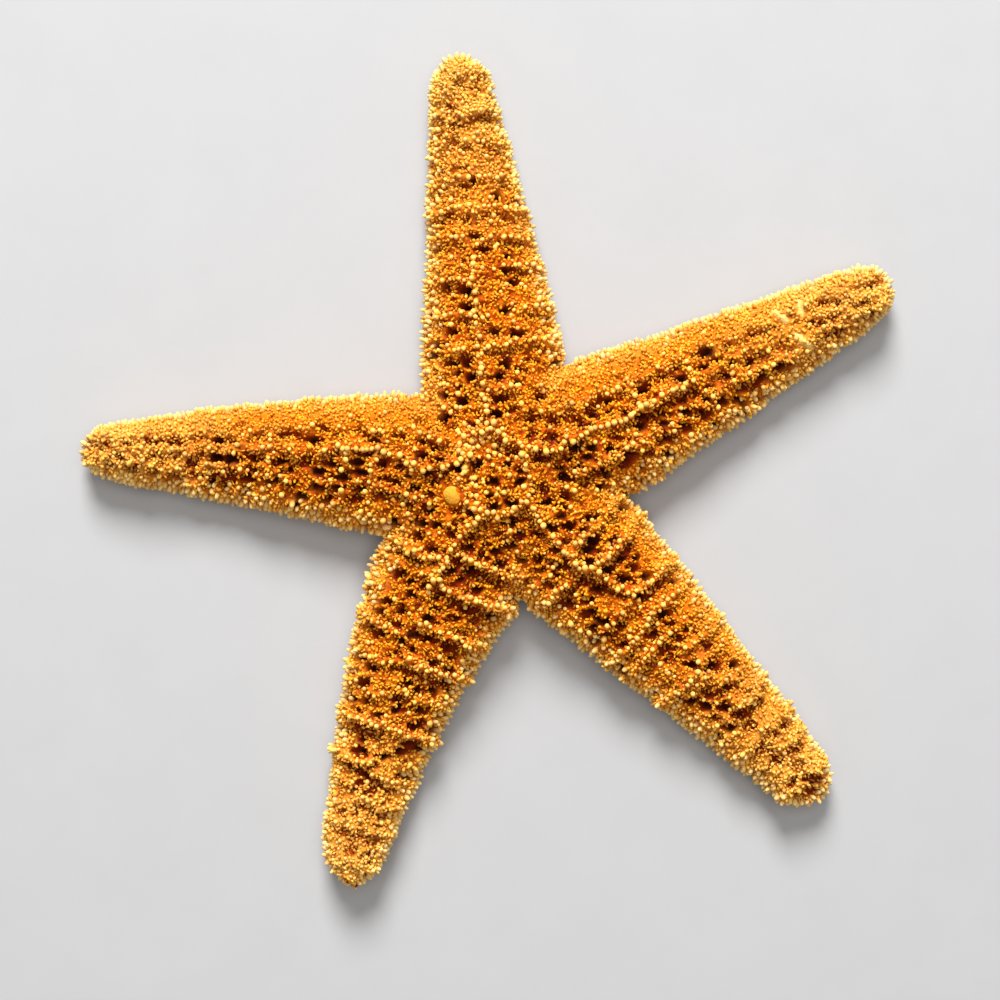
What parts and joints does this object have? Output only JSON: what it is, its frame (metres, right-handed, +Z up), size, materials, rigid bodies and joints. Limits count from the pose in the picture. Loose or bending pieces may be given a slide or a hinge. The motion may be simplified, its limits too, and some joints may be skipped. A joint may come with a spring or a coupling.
{
  "type": "dried starfish",
  "caption": "Dried orange starfish lying flat, with tapering arms, rows of blunt pale tubercles, dark pits between them and a fringe of short spines.",
  "frame": {"origin": "on the resting surface, under the middle of the outline's box", "axes": "+Z up from the resting surface, +Y towards the arm that points up in the picture, +X to the right of it"},
  "size_m": [0.18, 0.1838, 0.0188],
  "materials": {
    "skin": "dry, chalky and matt, orange with pale tubercle tips and dark pits"
  },
  "bodies": {
    "root": {"starfish": "skin"}
  },
  "joints": []
}
